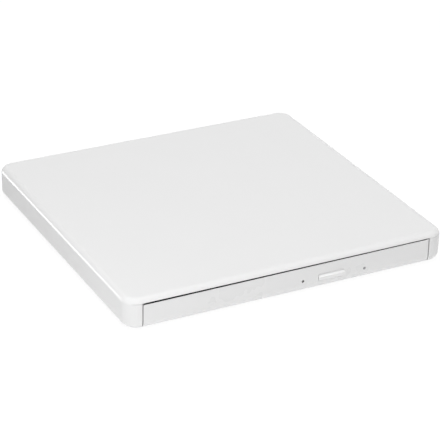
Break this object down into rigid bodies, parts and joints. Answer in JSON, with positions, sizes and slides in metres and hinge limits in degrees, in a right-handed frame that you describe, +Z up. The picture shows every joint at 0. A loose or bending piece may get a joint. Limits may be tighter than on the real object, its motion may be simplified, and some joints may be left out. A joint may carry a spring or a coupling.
{
  "type": "external slim disc drive",
  "caption": "Flat white square disc drive with rounded corners, a pull-out disc tray behind a flush front with a push button, pin hole and light, spindle and laser unit inside.",
  "frame": {"origin": "on the surface that the feet stand on, under the middle of the outer box, tray closed", "axes": "+X to the right seen from the front, -Y out of the front where the tray comes out, +Z up"},
  "size_m": [0.144, 0.1376, 0.014],
  "materials": {
    "white_shell": "fine satin moulded plastic",
    "white_front": "fine satin moulded plastic",
    "white_button": "satin moulded plastic",
    "light_pipe": "smoked clear plastic",
    "seal_foam": "dark foam strip",
    "foot_rubber": "soft grey rubber",
    "screw_steel": "zinc plated",
    "sheet_steel": "galvanised sheet",
    "rail_steel": "rolled strip",
    "guide_plastic": "natural acetal",
    "tray_plastic": "fine textured black",
    "deck_metal": "brushed, clear coat",
    "circuit_board": "green solder mask",
    "chip_plastic": "moulded chip",
    "connector_plastic": "moulded connector",
    "plated_steel": "tin plated",
    "ribbon_film": "amber film",
    "lamp_lens": "clear lamp body",
    "lever_plastic": "natural acetal",
    "copper_winding": "enamelled wire",
    "core_iron": "bare iron",
    "frame_steel": "stamped sheet",
    "damper_rubber": "soft rubber",
    "rotor_steel": "spun cup",
    "ring_rubber": "grip ring",
    "hub_plastic": "moulded hub",
    "polished_steel": "ground rod",
    "cast_metal": "die casting",
    "holder_plastic": "moulded holder",
    "lens_glass": "coated lens",
    "follower_plastic": "natural acetal",
    "spring_steel": "music wire"
  },
  "bodies": {
    "case": {"top_cover": "white_shell", "bottom_cover": "white_shell", "rubber_feet": "foot_rubber", "case_screws": "screw_steel", "bridge_board": "circuit_board", "bridge_chips": "chip_plastic", "usb_shell": "plated_steel", "usb_insert": "connector_plastic", "sata_receptacle": "connector_plastic", "drive_chassis": "sheet_steel", "drive_lid": "sheet_steel", "lid_screws": "screw_steel", "drive_screws": "screw_steel", "rail_guides": "guide_plastic", "main_board": "circuit_board", "main_chips": "chip_plastic", "sata_plug": "connector_plastic", "eject_guide_rod": "polished_steel", "eject_spring": "spring_steel", "flex_fixed_run": "ribbon_film"},
    "tray": {"tray": "tray_plastic", "bezel": "white_front", "front_seal": "seal_foam", "activity_light": "light_pipe", "button_board": "circuit_board", "button_switch": "chip_plastic", "status_led": "lamp_lens", "tray_bottom_plate": "sheet_steel", "tray_screws": "screw_steel", "deck_cover": "deck_metal", "flex_moving_run": "ribbon_film", "latch_pin": "polished_steel", "latch_coil": "copper_winding", "latch_core": "core_iron", "traverse_frame": "frame_steel", "traverse_dampers": "damper_rubber", "damper_screws": "screw_steel", "spindle_base": "frame_steel", "spindle_stator": "copper_winding", "main_guide_rod": "polished_steel", "side_guide_rod": "polished_steel", "feed_motor": "rotor_steel"},
    "left_rail": {"left_rail": "rail_steel"},
    "right_rail": {"right_rail": "rail_steel"},
    "flex_loop": {"flex_bend": "ribbon_film"},
    "eject_pusher": {"eject_pusher": "lever_plastic"},
    "eject_button": {"eject_button": "white_button"},
    "latch": {"latch_lever": "holder_plastic"},
    "spindle": {"spindle_rotor": "rotor_steel", "turntable_ring": "ring_rubber", "disc_hub": "hub_plastic"},
    "claw_1": {"hub_claw_1": "lever_plastic"},
    "claw_2": {"hub_claw_2": "lever_plastic"},
    "claw_3": {"hub_claw_3": "lever_plastic"},
    "pickup": {"pickup_body": "cast_metal", "pickup_cover": "frame_steel", "screw_follower": "follower_plastic"},
    "feed_screw": {"lead_screw": "polished_steel"},
    "lens": {"lens_holder": "holder_plastic", "objective_lens": "lens_glass"}
  },
  "joints": [
    {"name": "tray_slide", "type": "slide", "parent": "case", "child": "tray", "axis": [0, -1, 0], "range_m": [0, 0.128]},
    {"name": "left_rail_slide", "type": "slide", "parent": "case", "child": "left_rail", "axis": [0, -1, 0], "range_m": [0, 0.064]},
    {"name": "right_rail_slide", "type": "slide", "parent": "case", "child": "right_rail", "axis": [0, -1, 0], "range_m": [0, 0.064]},
    {"name": "flex_loop_slide", "type": "slide", "parent": "case", "child": "flex_loop", "axis": [0, -1, 0], "range_m": [0, 0.064]},
    {"name": "pusher_slide", "type": "slide", "parent": "case", "child": "eject_pusher", "axis": [0, -1, 0], "range_m": [0, 0.012], "deforming": ["eject_spring"]},
    {"name": "button_press", "type": "slide", "parent": "tray", "child": "eject_button", "axis": [0, 1, 0], "range_m": [0, 0.0005], "stiffness_N_per_m": 800, "springref_m": -0.001},
    {"name": "latch_pivot", "type": "hinge", "parent": "tray", "child": "latch", "pos_m": [0.036, -0.058, 0.0047], "axis": [0, 0, 1], "range_deg": [0, 4.2]},
    {"name": "spindle_spin", "type": "hinge", "parent": "tray", "child": "spindle", "pos_m": [0, -0.003, 0.006], "axis": [0, 0, 1], "continuous": true},
    {"name": "pickup_slide", "type": "slide", "parent": "tray", "child": "pickup", "axis": [-0.7071, -0.7071, 0], "range_m": [0, 0.0354]},
    {"name": "feed_screw_spin", "type": "hinge", "parent": "tray", "child": "feed_screw", "pos_m": [0.01471, -0.01771, 0.0051], "axis": [0.7071, 0.7071, 0], "range_deg": [0, 4250]},
    {"name": "lens_focus", "type": "slide", "parent": "pickup", "child": "lens", "axis": [0, 0, 1], "range_m": [-0.0004, 0.0004], "stiffness_N_per_m": 60},
    {"name": "claw_1_press", "type": "slide", "parent": "spindle", "child": "claw_1", "axis": [-0.7071, 0.7071, 0], "range_m": [0, 0.0007], "stiffness_N_per_m": 300, "springref_m": -0.0007},
    {"name": "claw_2_press", "type": "slide", "parent": "spindle", "child": "claw_2", "axis": [-0.2588, -0.9659, 0], "range_m": [0, 0.0007], "stiffness_N_per_m": 300, "springref_m": -0.0007},
    {"name": "claw_3_press", "type": "slide", "parent": "spindle", "child": "claw_3", "axis": [0.9659, 0.2588, 0], "range_m": [0, 0.0007], "stiffness_N_per_m": 300, "springref_m": -0.0007}
  ],
  "couplings": [
    {"joint": "left_rail_slide", "follows": "tray_slide", "ratio": 0.5},
    {"joint": "right_rail_slide", "follows": "tray_slide", "ratio": 0.5},
    {"joint": "flex_loop_slide", "follows": "tray_slide", "ratio": 0.5},
    {"joint": "pusher_slide", "follows": "tray_slide", "ratio": 0.09375},
    {"joint": "feed_screw_spin", "follows": "pickup_slide", "rad_per_m": 2094.4}
  ]
}
